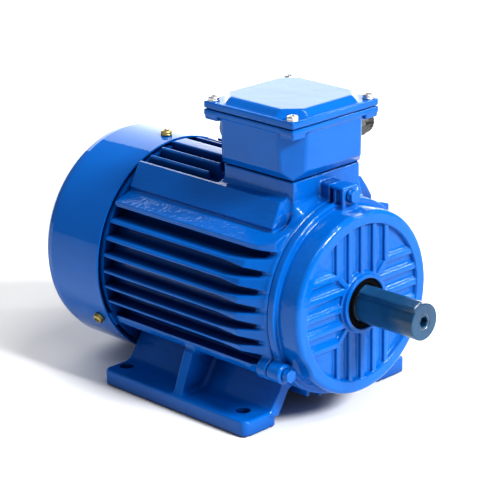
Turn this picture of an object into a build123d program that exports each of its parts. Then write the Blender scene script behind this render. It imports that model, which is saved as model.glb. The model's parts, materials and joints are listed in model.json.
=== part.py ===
"""Foot-mounted, fan-cooled electric motor of frame size 100L, with its terminal box on top.

Millimetres. The origin is the centre of the four foot holes on the surface the feet stand on,
+X runs along the shaft towards the drive end, +Z is up.
"""
import os
from math import cos, radians, sin, sqrt

from build123d import *

# Driving dimensions of the frame size
AXIS_HEIGHT = 100.0
FOOT_HOLES_ACROSS = 160.0
FOOT_HOLES_ALONG = 140.0
FOOT_HOLE_DIAMETER = 12.0
SHAFT_DIAMETER = 28.0
COATING = 1.3
SHAFT_EXTENSION = 60.0
FOOT_HOLE_TO_SHOULDER = 63.0
KEY_WIDTH = 8.0
KEY_HEIGHT = 7.0
KEY_DEPTH = 4.0
KEY_LENGTH = 55.0
KEY_ANGLE = 26.0

# Stations along the shaft
SHOULDER_X = FOOT_HOLES_ALONG / 2 + FOOT_HOLE_TO_SHOULDER
SHAFT_END_X = SHOULDER_X + SHAFT_EXTENSION
FRAME_REAR_X = -83.0
FRAME_FRONT_X = 100.0
DRUM_FRONT_X = 129.5
COVER_RIM_X = -86.0
COVER_REAR_X = -160.0

# Frame casting
BORE_RADIUS = 75.0
BARREL_RADIUS = 80.0
FLANGE_RADIUS = 82.5
FLANGE_THICKNESS = 12.0
FIN_TIP_RADIUS = 92.5
FIN_PITCH = 14.0
FIN_THICKNESS = 3.6
FIN_FLARE = 9.0
FIN_RAMP_START_X = 76.0
TOP_FIN_END_X = -12.0
TOP_FIN_PLACES = (22.0, 37.0)
TOP_PAD_WIDTH = 15.0
PANEL_FRONT_X = 85.0
EAR_BOLT_CIRCLE = 87.5
EAR_RADIUS = 8.5
EAR_ANGLES = (90.0, 210.0, 330.0)
REAR_BOLT_ANGLES = (30.0, 150.0, 270.0)
REAR_BOLT_CIRCLE = 80.5
REAR_EAR_RADIUS = 5.5
BOLT_RADIUS = 3.0
BOLT_CLEARANCE = 0.3
FOOT_FRONT_X = 90.0
FOOT_REAR_X = -80.0
FOOT_OUTER_Y = 98.0
FOOT_INNER_Y = 60.0
FOOT_THICKNESS = 14.0
GUSSET_X = 7.0
GUSSET_THICKNESS = 10.0

# Terminal box
BOX_X = 50.0
BOX_FLANGE = 100.0
BOX_FLANGE_BOTTOM_Z = 243.5
BOX_FLANGE_TOP_Z = 248.3
BOX_TOP_WIDTH = 97.0
BOX_BOTTOM_WIDTH = 94.0
BOX_EDGE_Z = 209.5
BOX_BASE_Z = 203.0
BOX_BASE_WIDTH = 79.0
BOX_CORNER_SUM = 79.4
BOX_WALL = 4.0
BOX_FLOOR_Z = 207.0
LID_SCREW_SPACING = 88.0
LID_BOTTOM_Z = 249.5
LID_FLANGE_TOP_Z = 255.0
LID_TOP_Z = 260.5
PEDESTAL_WIDTH = 78.0
PEDESTAL_TOP_Z = 202.0
LEAD_OPENING_RADIUS = 21.0
ENTRY_Z = 227.5
ENTRY_OFFSET = 18.0
ENTRY_RADIUS = 10.0
ENTRY_WALL = 48.6
BOARD_BOTTOM_Z = 214.0
BOARD_TOP_Z = 221.0
STUD_SPACING = 16.0
STUD_ROW = 9.0
EARTH_SCREW_Y = -32.0
LEAD_X = 65.0

# Drive end shield
SHIELD_FLANGE_X = 107.5
DRUM_RADIUS = 77.0
RIB_FIELD_RADIUS = 65.5
RIB_PITCH = 14.3
RIB_THICKNESS = 4.4
RIB_FRONT_X = 128.5
POCKET_FLOOR_X = 125.3
HUB_RADIUS = 24.5
HUB_FRONT_X = 132.6
SEAL_RADIUS = 21.0

# Bearings (6206)
BEARING_BORE = 15.0
BEARING_OUTER = 31.0
BEARING_WIDTH = 16.0
BALL_RADIUS = 4.7625
BALL_CIRCLE = 23.0
BALL_COUNT = 9
BALL_GAP = 0.05
DRIVE_BEARING_X = 106.0
FAN_BEARING_X = -112.0

# Electrical parts
CORE_FRONT_X = 53.0
CORE_REAR_X = -52.0
STATOR_BORE = 49.0
AIR_GAP = 0.35
STATOR_SLOTS = 36
ROTOR_BARS = 28
ROTOR_SHAFT_RADIUS = 19.0

# Fan and its cover
COVER_RADIUS = 95.7
COVER_SHEET = 1.5
COVER_SCREW_X = -99.0
FAN_RADIUS = 80.0
FAN_SEAT_RADIUS = 12.5
FAN_REAR_X = -144.0
FAN_FRONT_X = -119.0
FAN_BLADES = 7
FAN_HUB_REAR_X = -137.0

MOTOR_AXIS = Axis((0, 0, AXIS_HEIGHT), (1, 0, 0))


def on_axis(x, turn=0.0):
    """A plane across the shaft at x, its normal towards the drive end, turned about the shaft."""
    plane = Plane(origin=(x, 0, AXIS_HEIGHT), x_dir=(0, 1, 0), z_dir=(1, 0, 0))
    return plane * Location((0, 0, 0), (0, 0, turn))


def disc(x0, x1, radius):
    """A cylinder on the shaft's axis."""
    return extrude(on_axis(x0) * Circle(radius), x1 - x0)


def ring(x0, x1, outer, inner):
    """A plain ring on the shaft's axis."""
    return extrude(on_axis(x0) * (Circle(outer) - Circle(inner)), x1 - x0)


def turned(points):
    """A solid of revolution about the shaft from (x, radius) corners."""
    outline = Polyline(*[(x, 0, AXIS_HEIGHT + r) for x, r in points], close=True)
    return revolve(make_face(outline), axis=MOTOR_AXIS, revolution_arc=360)


def across(x0, x1, points):
    """A prism along X from (y, z) corners."""
    plane = Plane(origin=(x0, 0, 0), x_dir=(0, 1, 0), z_dir=(1, 0, 0))
    return extrude(plane * Polygon(*points, align=None), x1 - x0, dir=(1, 0, 0))


def mirrored_pair(solid):
    """The solid and its mirror image in the motor's upright middle plane."""
    return solid + mirror(solid, about=Plane.XZ)


def rod_x(x0, x1, y, z, radius):
    """A cylinder parallel to the shaft."""
    plane = Plane(origin=(x0, y, z), x_dir=(0, 1, 0), z_dir=(1, 0, 0))
    return extrude(plane * Circle(radius), x1 - x0)


def rod_z(x, y, z0, z1, radius):
    """An upright cylinder."""
    return extrude(Plane.XY.offset(z0) * Pos(x, y) * Circle(radius), z1 - z0)


def polar(radius, angle):
    """The (y, z) place at a radius and an angle about the shaft, counted from +Y towards +Z."""
    return radius * cos(radians(angle)), AXIS_HEIGHT + radius * sin(radians(angle))


def block(x0, x1, y0, y1, z0, z1):
    """A box from its limits."""
    return Pos((x0 + x1) / 2, (y0 + y1) / 2, (z0 + z1) / 2) * Box(x1 - x0, y1 - y0, z1 - z0)


def group(solids):
    """Separate solids kept in one node."""
    return Compound(children=list(solids))


# ---------------------------------------------------------------- frame casting

def fin_envelope():
    """The space the fins may fill: tips on a cylinder that ramps down to the drive end flange."""
    return turned([
        (FRAME_REAR_X, BARREL_RADIUS - 3), (FRAME_REAR_X, FIN_TIP_RADIUS),
        (FIN_RAMP_START_X, FIN_TIP_RADIUS), (FRAME_FRONT_X - 4, FLANGE_RADIUS),
        (FRAME_FRONT_X - 4, BARREL_RADIUS - 3),
    ])


def side_fins():
    """The level fins of both sides, each thicker where it runs into the flange."""
    flare_start = FIN_RAMP_START_X - 22
    fins = Part()
    for step in range(-2, 4):
        z = AXIS_HEIGHT + step * FIN_PITCH
        half = FIN_THICKNESS / 2
        wide = FIN_FLARE / 2
        outline = Polygon(
            (FRAME_REAR_X, z - half), (flare_start, z - half), (FRAME_FRONT_X, z - wide),
            (FRAME_FRONT_X, z + wide), (flare_start, z + half), (FRAME_REAR_X, z + half),
            align=None)
        fins += extrude(Plane.XZ * outline, FIN_TIP_RADIUS, both=True)
    return fins & fin_envelope()


def top_fins():
    """The upright fins and the lifting pad behind the terminal box."""
    span = TOP_FIN_END_X - FRAME_REAR_X
    middle = (TOP_FIN_END_X + FRAME_REAR_X) / 2
    base = Plane.XY.offset(AXIS_HEIGHT)
    fins = extrude(base * Pos(middle, 0) * Rectangle(span, TOP_PAD_WIDTH), FIN_TIP_RADIUS + 2)
    for y in TOP_FIN_PLACES:
        fins += mirrored_pair(
            extrude(base * Pos(middle, y) * Rectangle(span, FIN_THICKNESS), FIN_TIP_RADIUS + 2))
    limit = ring(FRAME_REAR_X, TOP_FIN_END_X, FIN_TIP_RADIUS + 1.2, BARREL_RADIUS - 3)
    return fins & limit


def bottom_fins():
    """Short upright fins under the barrel, between the webs of the feet."""
    fins = Part()
    for y in (-30, -15, 0, 15, 30):
        fins += block(FRAME_REAR_X, FRAME_FRONT_X - 4, y - 1.8, y + 1.8, 8, AXIS_HEIGHT)
    return fins & ring(FRAME_REAR_X, FRAME_FRONT_X - 4, BARREL_RADIUS + 8, BARREL_RADIUS - 3)


def side_panel():
    """The sloping flat panel beside the terminal box, with the wide shelf below it."""
    panel = across(FRAME_REAR_X, PANEL_FRONT_X, [
        (-36, 182), (-40, 186.5), (-48, 185.5), (-58.5, 166), (-57, 161), (-42, 160)])
    shelf = across(FRAME_REAR_X, FRAME_FRONT_X - 3, [
        (-48, 164), (-57.5, 163.5), (-75.5, 157), (-75.5, 153.5), (-48, 150)])
    shelf &= turned([
        (FRAME_REAR_X, BARREL_RADIUS - 20), (FRAME_REAR_X, FIN_TIP_RADIUS + 3),
        (FIN_RAMP_START_X, FIN_TIP_RADIUS + 3), (FRAME_FRONT_X - 4, FLANGE_RADIUS + 1.5),
        (FRAME_FRONT_X - 4, BARREL_RADIUS - 20)])
    return panel + shelf


def lower_ledge():
    """The thick lowest fin that the web of a foot hangs from."""
    ledge = across(FRAME_REAR_X, FRAME_FRONT_X - 4, [(-56, 57), (-79.5, 57), (-76.5, 47), (-56, 44)])
    return ledge & fin_envelope()


def foot():
    """One foot plate with its sloping web, gusset and holes."""
    plate_width = FOOT_OUTER_Y - FOOT_INNER_Y
    plate = Pos((FOOT_FRONT_X + FOOT_REAR_X) / 2, -(FOOT_OUTER_Y + FOOT_INNER_Y) / 2, 0) * (
        extrude(Rectangle(FOOT_FRONT_X - FOOT_REAR_X, plate_width), FOOT_THICKNESS))
    web = across(FOOT_REAR_X, FOOT_FRONT_X, [
        (-67.5, 13), (-60, 10), (-60, 13), (-44, 36), (-44, 48), (-58, 50), (-51, 40), (-55.5, 31)])
    gusset = across(GUSSET_X - GUSSET_THICKNESS / 2, GUSSET_X + GUSSET_THICKNESS / 2,
                    [(-60, 13), (-95, 13), (-79, 48), (-60, 50), (-52, 40)])
    return plate + web + gusset


def foot_holes():
    """Through holes for the foot bolts."""
    cuts = Part()
    for x in (-FOOT_HOLES_ALONG / 2, FOOT_HOLES_ALONG / 2):
        for y in (-FOOT_HOLES_ACROSS / 2, FOOT_HOLES_ACROSS / 2):
            cuts += rod_z(x, y, -1, FOOT_THICKNESS + 1, FOOT_HOLE_DIAMETER / 2)
    return cuts


def pedestal():
    """The hollow cast seat that carries the terminal box."""
    half = PEDESTAL_WIDTH / 2
    seat = block(BOX_X - half, BOX_X + half, -half, half, AXIS_HEIGHT + 60, PEDESTAL_TOP_Z)
    brow = block(BOX_X - half, FRAME_FRONT_X - 8, -half, half, AXIS_HEIGHT + 60, 181)
    return seat + brow


def frame_ears():
    """The lugs the end shield bolts screw into, at both ends."""
    ears = Part()
    for angle in EAR_ANGLES:
        y, z = polar(EAR_BOLT_CIRCLE, angle)
        ears += rod_x(FRAME_FRONT_X - 16, FRAME_FRONT_X, y, z, EAR_RADIUS)
        root = on_axis(FRAME_FRONT_X - 16, angle) * Pos(BARREL_RADIUS, 0) * Rectangle(14, 2 * EAR_RADIUS)
        ears += extrude(root, 16)
    for angle in REAR_BOLT_ANGLES:
        y, z = polar(REAR_BOLT_CIRCLE, angle)
        ears += rod_x(FRAME_REAR_X, FRAME_REAR_X + 14, y, z, REAR_EAR_RADIUS)
    return ears


def bolt_holes():
    """Threaded holes for the shield bolts, without their threads."""
    holes = Part()
    for angle in EAR_ANGLES:
        y, z = polar(EAR_BOLT_CIRCLE, angle)
        holes += rod_x(FRAME_FRONT_X - 16, FRAME_FRONT_X + 1, y, z, BOLT_RADIUS)
    for angle in REAR_BOLT_ANGLES:
        y, z = polar(REAR_BOLT_CIRCLE, angle)
        holes += rod_x(FRAME_REAR_X - 1, FRAME_REAR_X + 13, y, z, BOLT_RADIUS)
    return holes


def box_screw_places():
    """Places of the four screws that hold the terminal box to its seat."""
    return [(BOX_X + sx * 29.0, sy * 29.0) for sx in (-1, 1) for sy in (-1, 1)]


def frame_housing():
    """The finned frame, cast in one piece with its feet."""
    cast = disc(FRAME_REAR_X, FRAME_FRONT_X, BARREL_RADIUS)
    cast += disc(FRAME_FRONT_X - FLANGE_THICKNESS, FRAME_FRONT_X, FLANGE_RADIUS)
    cast += side_fins()
    cast += top_fins()
    cast += bottom_fins()
    cast += mirrored_pair(side_panel())
    cast += mirrored_pair(lower_ledge())
    cast += mirrored_pair(foot())
    cast += pedestal()
    cast += frame_ears()
    cast -= disc(FRAME_REAR_X - 1, FRAME_FRONT_X + 1, BORE_RADIUS)
    cast -= foot_holes()
    cast -= bolt_holes()
    cast -= rod_z(BOX_X, 0, AXIS_HEIGHT, PEDESTAL_TOP_Z + 1, LEAD_OPENING_RADIUS)
    for x, y in box_screw_places():
        cast -= rod_z(x, y, PEDESTAL_TOP_Z - 14, PEDESTAL_TOP_Z + 1, 2.5)
    cast -= plate_rivet_holes()
    return cast


# ---------------------------------------------------------------- end shields

def rib_pockets():
    """The shallow pockets between nested L-shaped ribs on the shield's face."""
    half = RIB_THICKNESS / 2
    far = RIB_FIELD_RADIUS + 1
    ribs = Sketch()
    for step in range(-2, 3):
        offset = step * RIB_PITCH
        start = max(abs(offset) - half, 0.0)
        bar = Pos((start + far) / 2, offset) * Rectangle(far - start, RIB_THICKNESS)
        for turn in (0, 90, 180, 270):
            ribs += Rot(0, 0, turn) * bar
    corner = 2 * RIB_PITCH * sqrt(2)
    brace = Pos(corner / 2, 0) * Rectangle(corner, RIB_THICKNESS)
    for turn in (45, 135, 225, 315):
        ribs += Rot(0, 0, turn) * brace
    field = Circle(RIB_FIELD_RADIUS) - Circle(HUB_RADIUS + 1.5) - ribs
    return extrude(on_axis(POCKET_FLOOR_X) * field, DRUM_FRONT_X - POCKET_FLOOR_X + 1)


def drive_end_shield():
    """The ribbed end shield that holds the drive end bearing and seal."""
    bearing_end = DRIVE_BEARING_X + BEARING_WIDTH
    shield = turned([
        (FRAME_FRONT_X, 68), (FRAME_FRONT_X, FLANGE_RADIUS - 0.5), (SHIELD_FLANGE_X, FLANGE_RADIUS - 0.5),
        (SHIELD_FLANGE_X, DRUM_RADIUS), (DRUM_FRONT_X - 4, DRUM_RADIUS),
        (DRUM_FRONT_X - 1.2, DRUM_RADIUS - 1.2), (DRUM_FRONT_X, DRUM_RADIUS - 4),
        (DRUM_FRONT_X, RIB_FIELD_RADIUS + 1), (RIB_FRONT_X, RIB_FIELD_RADIUS),
        (RIB_FRONT_X, HUB_RADIUS + 1), (HUB_FRONT_X, HUB_RADIUS), (HUB_FRONT_X, SEAL_RADIUS),
        (bearing_end + 1.5, SEAL_RADIUS), (bearing_end + 1.5, 26), (bearing_end, 26),
        (bearing_end, BEARING_OUTER), (DRIVE_BEARING_X - 1, BEARING_OUTER), (DRIVE_BEARING_X - 1, 38),
        (bearing_end - 2, 38), (bearing_end - 3, 68)])
    shield += ring(FRAME_FRONT_X - 5, FRAME_FRONT_X + 2, BORE_RADIUS - 0.03, 68)
    for angle in EAR_ANGLES:
        y, z = polar(EAR_BOLT_CIRCLE, angle)
        ear = rod_x(FRAME_FRONT_X, 115.5, y, z, EAR_RADIUS)
        root = on_axis(FRAME_FRONT_X, angle) * Pos(EAR_BOLT_CIRCLE - 6, 0) * Rectangle(12, 2 * EAR_RADIUS)
        shield += ear + extrude(root, 15.5)
    for angle in EAR_ANGLES:
        y, z = polar(EAR_BOLT_CIRCLE, angle)
        shield -= rod_x(FRAME_FRONT_X - 1, 117, y, z, BOLT_RADIUS + BOLT_CLEARANCE)
        y, z = polar(108.5, angle)
        shield -= rod_x(115.5, DRUM_FRONT_X + 1, y, z, 34)
    return shield - rib_pockets()


def fan_end_shield():
    """The plain end shield inside the fan cover, with three lugs that carry the cover."""
    bearing_end = FAN_BEARING_X + BEARING_WIDTH
    shield = turned([
        (FRAME_REAR_X + 5, BORE_RADIUS - 0.03), (FRAME_REAR_X, BORE_RADIUS - 0.03), (FRAME_REAR_X, 91),
        (FRAME_REAR_X - 6, 91), (FRAME_REAR_X - 9, 82), (-96, 74), (-106, 42), (FAN_BEARING_X - 6, 37),
        (FAN_BEARING_X - 6, 21), (FAN_BEARING_X - 2, 21), (FAN_BEARING_X - 2, BEARING_OUTER),
        (bearing_end + 1, BEARING_OUTER), (bearing_end + 1, 38), (-98, 44), (FRAME_REAR_X + 5, 68)])
    for angle in EAR_ANGLES:
        lug_x = COVER_SCREW_X - 6
        lug = extrude(on_axis(lug_x, angle) * Pos(81, 0) * Rectangle(28, 14), FRAME_REAR_X - lug_x)
        shield += lug & ring(lug_x, FRAME_REAR_X, COVER_RADIUS - COVER_SHEET, 60)
    for angle in REAR_BOLT_ANGLES:
        y, z = polar(REAR_BOLT_CIRCLE, angle)
        boss = rod_x(FRAME_REAR_X - 9, FRAME_REAR_X, y, z, REAR_EAR_RADIUS)
        shield += boss
        shield -= rod_x(FRAME_REAR_X - 30, FRAME_REAR_X + 1, y, z, BOLT_RADIUS + BOLT_CLEARANCE)
        shield -= rod_x(FRAME_REAR_X - 30, FRAME_REAR_X - 9, y, z, 8)
    for angle in EAR_ANGLES:
        shield -= radial_rod(COVER_SCREW_X, angle, COVER_RADIUS - 14, COVER_RADIUS, 2.0)
    return shield


def radial_rod(x, angle, r0, r1, radius):
    """A cylinder that points straight away from the shaft."""
    y, z = polar(r0, angle)
    direction = (0, cos(radians(angle)), sin(radians(angle)))
    plane = Plane(origin=(x, y, z), x_dir=(1, 0, 0), z_dir=direction)
    return extrude(plane * Circle(radius), r1 - r0)


def hex_bolt(x, angle, circle, facing, shank, washer):
    """An M6 hexagon bolt whose head seats on a washer at x."""
    y, z = polar(circle, angle)
    plane = Plane(origin=(x, y, z), x_dir=(0, 1, 0), z_dir=(facing, 0, 0))
    head = extrude(plane.offset(washer) * RegularPolygon(10 / sqrt(3), 6), 4)
    stem = extrude(plane.offset(washer) * Circle(BOLT_RADIUS - 0.02), -(shank + washer))
    return head + stem


def washer_ring(x, angle, circle, facing, thickness):
    """A plain washer for an M6 bolt."""
    y, z = polar(circle, angle)
    plane = Plane(origin=(x, y, z), x_dir=(0, 1, 0), z_dir=(facing, 0, 0))
    return extrude(plane * (Circle(5.6) - Circle(BOLT_RADIUS + 0.2)), thickness)


def drive_end_bolts():
    """The three bolts of the drive end shield."""
    return group(hex_bolt(115.5, a, EAR_BOLT_CIRCLE, 1, 28, 1.6) for a in EAR_ANGLES)


def drive_end_washers():
    """The washers under the drive end bolts."""
    return group(washer_ring(115.5, a, EAR_BOLT_CIRCLE, 1, 1.6) for a in EAR_ANGLES)


def fan_end_bolts():
    """The three bolts of the fan end shield."""
    return group(hex_bolt(FRAME_REAR_X - 9, a, REAR_BOLT_CIRCLE, -1, 20, 1.6) for a in REAR_BOLT_ANGLES)


def fan_end_washers():
    """The washers under the fan end bolts."""
    return group(washer_ring(FRAME_REAR_X - 9, a, REAR_BOLT_CIRCLE, -1, 1.6) for a in REAR_BOLT_ANGLES)


# ---------------------------------------------------------------- fan cover

def fan_cover():
    """The pressed sheet cover with a rounded back and an air grille of slots."""
    sheet = COVER_SHEET
    bend = 15.0
    top = COVER_RADIUS
    knee_x = COVER_REAR_X + bend
    outer = [(COVER_RIM_X, top), (knee_x, top)]
    inner = [(COVER_RIM_X, top - sheet), (knee_x, top - sheet)]
    for angle in (22.5, 45, 67.5, 90):
        dx = sin(radians(angle))
        dr = cos(radians(angle))
        outer.append((knee_x - bend * dx, top - bend + bend * dr))
        inner.append((knee_x - (bend - sheet) * dx, top - bend + (bend - sheet) * dr))
    cover = turned(outer + [(COVER_REAR_X, 0), (COVER_REAR_X + sheet, 0)] + inner[::-1])
    for row in range(4):
        radius = 26 + 13 * row
        count = 6 + 3 * row
        for index in range(count):
            cover -= grille_slot(radius, 360 / count, 360 / count * (index + 0.5 * (row % 2)))
    for angle in EAR_ANGLES:
        cover -= radial_rod(COVER_SCREW_X, angle, COVER_RADIUS - 4, COVER_RADIUS + 2, 2.4)
    return cover


def grille_slot(radius, pitch, turn):
    """One bent air slot of the grille."""
    half = pitch / 2 - degrees_for(9, radius)
    arc = CenterArc((0, 0), radius, turn - half, 2 * half)
    return extrude(on_axis(COVER_REAR_X - 1) * SlotArc(arc, 6.5), COVER_SHEET + 2)


def degrees_for(length, radius):
    """The angle that half of a length covers on a circle."""
    return length / 2 / radius * 57.2958


def fan_cover_screws():
    """Round-head screws through the cover's rim."""
    screws = []
    for angle in EAR_ANGLES:
        head = radial_rod(COVER_SCREW_X, angle, COVER_RADIUS + 0.9, COVER_RADIUS + 3.6, 4.0)
        stem = radial_rod(COVER_SCREW_X, angle, COVER_RADIUS - 11, COVER_RADIUS + 0.9, 1.95)
        screws.append(head + stem)
    return group(screws)


def fan_cover_washers():
    """Washers under the cover screws, dished to the cover."""
    washers = []
    for angle in EAR_ANGLES:
        washer = radial_rod(COVER_SCREW_X, angle, COVER_RADIUS - 1, COVER_RADIUS + 0.9, 4.8)
        washer -= radial_rod(COVER_SCREW_X, angle, COVER_RADIUS - 2, COVER_RADIUS + 2, 2.2)
        washers.append(washer - disc(COVER_SCREW_X - 8, COVER_SCREW_X + 8, COVER_RADIUS))
    return group(washers)


# ---------------------------------------------------------------- stator

def stator_slot(turn, inner, outer, width):
    """The room of one slot in the stator stack."""
    slot = on_axis(CORE_REAR_X, turn) * Pos((inner + outer) / 2, 0) * Rectangle(outer - inner, width)
    return extrude(slot, CORE_FRONT_X - CORE_REAR_X)


def stator_core():
    """The slotted stack of laminations."""
    core = ring(CORE_REAR_X, CORE_FRONT_X, BORE_RADIUS - 0.02, STATOR_BORE)
    for index in range(STATOR_SLOTS):
        core -= stator_slot(index * 360 / STATOR_SLOTS, STATOR_BORE + 1.5, 63, 5)
    return core


def stator_winding():
    """Slot sides and both end turns of the three-phase winding."""
    winding = ring(CORE_REAR_X - 26, CORE_REAR_X, 66, 51.5)
    winding += ring(CORE_FRONT_X, CORE_FRONT_X + 26, 66, 51.5)
    for index in range(STATOR_SLOTS):
        winding += stator_slot(index * 360 / STATOR_SLOTS, 52, 62.8, 4.6)
    return winding


def lead_bundle():
    """The sleeved winding leads that climb through the seat into the box."""
    start_z = AXIS_HEIGHT + 66.1
    return group(rod_z(LEAD_X, y, start_z, BOX_FLOOR_Z + 5, 3.0) for y in (-8, 0, 8))


# ---------------------------------------------------------------- rotor

def key_plane(x, radius):
    """A plane on the shaft at the key, its normal straight out through the key's top."""
    direction = (0, -sin(radians(KEY_ANGLE)), cos(radians(KEY_ANGLE)))
    origin = (x, direction[1] * radius, AXIS_HEIGHT + direction[2] * radius)
    return Plane(origin=origin, x_dir=(1, 0, 0), z_dir=direction)


def key_shape(width, length, height):
    """A parallel key with one round end, lying back from the shaft's end."""
    face = SlotOverall(length + width, width) & Pos(-width / 2, 0) * Rectangle(length, width)
    place = key_plane(SHAFT_END_X - length / 2 + width / 2, SHAFT_DIAMETER / 2 - KEY_DEPTH)
    return extrude(place * face, height)


def shaft():
    """The stepped shaft with its key seat, ring groove and centre hole."""
    radius = SHAFT_DIAMETER / 2
    bearing_back = DRIVE_BEARING_X - 0.1
    body = turned([
        (-146, 0), (-146, FAN_SEAT_RADIUS - 1), (-145, FAN_SEAT_RADIUS),
        (FAN_BEARING_X - 3, FAN_SEAT_RADIUS),
        (FAN_BEARING_X - 3, BEARING_BORE), (FAN_BEARING_X + BEARING_WIDTH, BEARING_BORE),
        (FAN_BEARING_X + BEARING_WIDTH, 18), (CORE_REAR_X - 12, 18), (CORE_REAR_X - 12, ROTOR_SHAFT_RADIUS),
        (CORE_FRONT_X + 12, ROTOR_SHAFT_RADIUS), (CORE_FRONT_X + 12, 18), (bearing_back, 18),
        (bearing_back, BEARING_BORE), (SHOULDER_X, BEARING_BORE), (SHOULDER_X, radius),
        (SHAFT_END_X - 1.2, radius), (SHAFT_END_X, radius - 1.2), (SHAFT_END_X, 0)])
    body -= key_shape(KEY_WIDTH, KEY_LENGTH, KEY_HEIGHT + 5)
    body -= ring(-142.0, -140.8, 14, FAN_SEAT_RADIUS - 0.7)
    body -= fan_key()
    body -= disc(SHAFT_END_X - 22, SHAFT_END_X + 1, 5.0)
    mouth = turned([
        (SHAFT_END_X - 1.5, 0), (SHAFT_END_X - 1.5, 5), (SHAFT_END_X + 0.5, 7), (SHAFT_END_X + 0.5, 0)])
    return body - mouth


def shaft_key():
    """The parallel key of the shaft extension."""
    return key_shape(KEY_WIDTH, KEY_LENGTH, KEY_HEIGHT)


def shaft_end_plug():
    """The hexagon socket plug that closes the shaft's centre hole."""
    plug = disc(SHAFT_END_X - 14, SHAFT_END_X - 1.6, 5.0)
    return plug - extrude(on_axis(SHAFT_END_X - 7) * RegularPolygon(7 / sqrt(3), 6), 8)


def shaft_coating():
    """The peelable rust-proof coating over the shaft extension and its key."""
    start_x = SHOULDER_X + 0.5
    skin = disc(start_x, SHAFT_END_X + 0.8, SHAFT_DIAMETER / 2 + COATING)
    length = SHAFT_END_X + 0.8 - start_x
    place = key_plane((start_x + SHAFT_END_X + 0.8) / 2, SHAFT_DIAMETER / 2 - KEY_DEPTH)
    skin += extrude(place * Rectangle(length - 1.0, KEY_WIDTH + 2 * COATING), KEY_HEIGHT + COATING)
    skin -= disc(start_x - 1, SHAFT_END_X, SHAFT_DIAMETER / 2)
    skin -= disc(SHAFT_END_X - 1, SHAFT_END_X + 2, 6.6)
    return skin - shaft_key()


def rotor_core():
    """The rotor's laminations on the shaft, with holes for the cast bars."""
    core = ring(CORE_REAR_X, CORE_FRONT_X, STATOR_BORE - AIR_GAP, ROTOR_SHAFT_RADIUS)
    for index in range(ROTOR_BARS):
        y, z = polar(42.5, index * 360 / ROTOR_BARS)
        core -= rod_x(CORE_REAR_X - 1, CORE_FRONT_X + 1, y, z, 3.2)
    return core


def rotor_cage():
    """The cast aluminium bars, end rings and balancing blades."""
    cage = ring(CORE_REAR_X - 9, CORE_REAR_X, 47.5, 33) + ring(CORE_FRONT_X, CORE_FRONT_X + 9, 47.5, 33)
    for index in range(ROTOR_BARS):
        y, z = polar(42.5, index * 360 / ROTOR_BARS)
        cage += rod_x(CORE_REAR_X, CORE_FRONT_X, y, z, 3.2)
    for index in range(9):
        turn = index * 40
        blade = Pos(40.5, 0) * Rectangle(12, 3)
        cage += extrude(on_axis(CORE_FRONT_X + 9, turn) * blade, 9)
        cage += extrude(on_axis(CORE_REAR_X - 9, turn) * blade, -9)
    return cage


# ---------------------------------------------------------------- bearings

def race_groove(x):
    """The ring-shaped room the balls run in."""
    plane = Plane(origin=(x + BEARING_WIDTH / 2, 0, AXIS_HEIGHT), x_dir=(0, 1, 0), z_dir=(1, 0, 0))
    return plane * Torus(BALL_CIRCLE, BALL_RADIUS + BALL_GAP)


def outer_ring(x):
    """A bearing's outer ring, starting at x."""
    return ring(x, x + BEARING_WIDTH, BEARING_OUTER - 0.01, 26.2) - race_groove(x)


def inner_ring(x):
    """A bearing's inner ring, starting at x."""
    return ring(x, x + BEARING_WIDTH, 19.8, BEARING_BORE) - race_groove(x)


def ball_place(x, index):
    """The middle of one ball of the bearing at x."""
    y, z = polar(BALL_CIRCLE, index * 360 / BALL_COUNT)
    return Pos(x + BEARING_WIDTH / 2, y, z)


def balls(x):
    """All the balls of the bearing at x."""
    return group(ball_place(x, index) * Sphere(BALL_RADIUS) for index in range(BALL_COUNT))


def ball_cage(x):
    """The pressed cage that spaces the balls."""
    middle = x + BEARING_WIDTH / 2
    cage = ring(middle - 6.3, middle + 6.3, 24.6, 21.4)
    for index in range(BALL_COUNT):
        cage -= ball_place(x, index) * Sphere(BALL_RADIUS + BALL_GAP)
    return cage


def wave_spring():
    """The spring that preloads the fan end bearing, drawn at its working height."""
    return ring(FAN_BEARING_X - 2, FAN_BEARING_X, 30.4, 26)


def drive_oil_seal():
    """The lip seal in the drive end shield."""
    seal_x = DRIVE_BEARING_X + BEARING_WIDTH + 1.6
    return turned([
        (seal_x, SEAL_RADIUS), (seal_x + 7, SEAL_RADIUS), (seal_x + 7, 17),
        (seal_x + 5, BEARING_BORE + 0.08), (seal_x + 3.4, BEARING_BORE + 0.08),
        (seal_x + 2, 18.5), (seal_x, 18.5)])


def fan_seal():
    """The seal ring where the shaft leaves the fan end shield."""
    seal_x = FAN_BEARING_X - 6
    return ring(seal_x + 0.5, seal_x + 2.5, 21, FAN_SEAT_RADIUS + 0.08)


# ---------------------------------------------------------------- cooling fan

def cooling_fan():
    """The radial fan that works in both directions."""
    fan = ring(FAN_HUB_REAR_X, FAN_FRONT_X - 2, 20, FAN_SEAT_RADIUS)
    fan += turned([(-125, 19), (FAN_FRONT_X - 2, 19), (FAN_FRONT_X - 2, 40), (FAN_FRONT_X, FAN_RADIUS),
                   (FAN_FRONT_X - 3, FAN_RADIUS), (-125, 40)])
    blade_root_x = FAN_FRONT_X - 2.5
    blade = Pos((19 + FAN_RADIUS) / 2, 0) * Rectangle(FAN_RADIUS - 19, 3)
    for index in range(FAN_BLADES):
        fan += extrude(on_axis(blade_root_x, index * 360 / FAN_BLADES) * blade, FAN_REAR_X - blade_root_x)
    return fan - fan_key() - disc(FAN_REAR_X - 1, FAN_HUB_REAR_X, 20)


def fan_key():
    """The small key that turns the fan with the shaft."""
    seat = AXIS_HEIGHT + FAN_SEAT_RADIUS
    return block(FAN_HUB_REAR_X + 3, FAN_HUB_REAR_X + 13, -2, 2, seat - 2, seat + 2.2)


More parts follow.
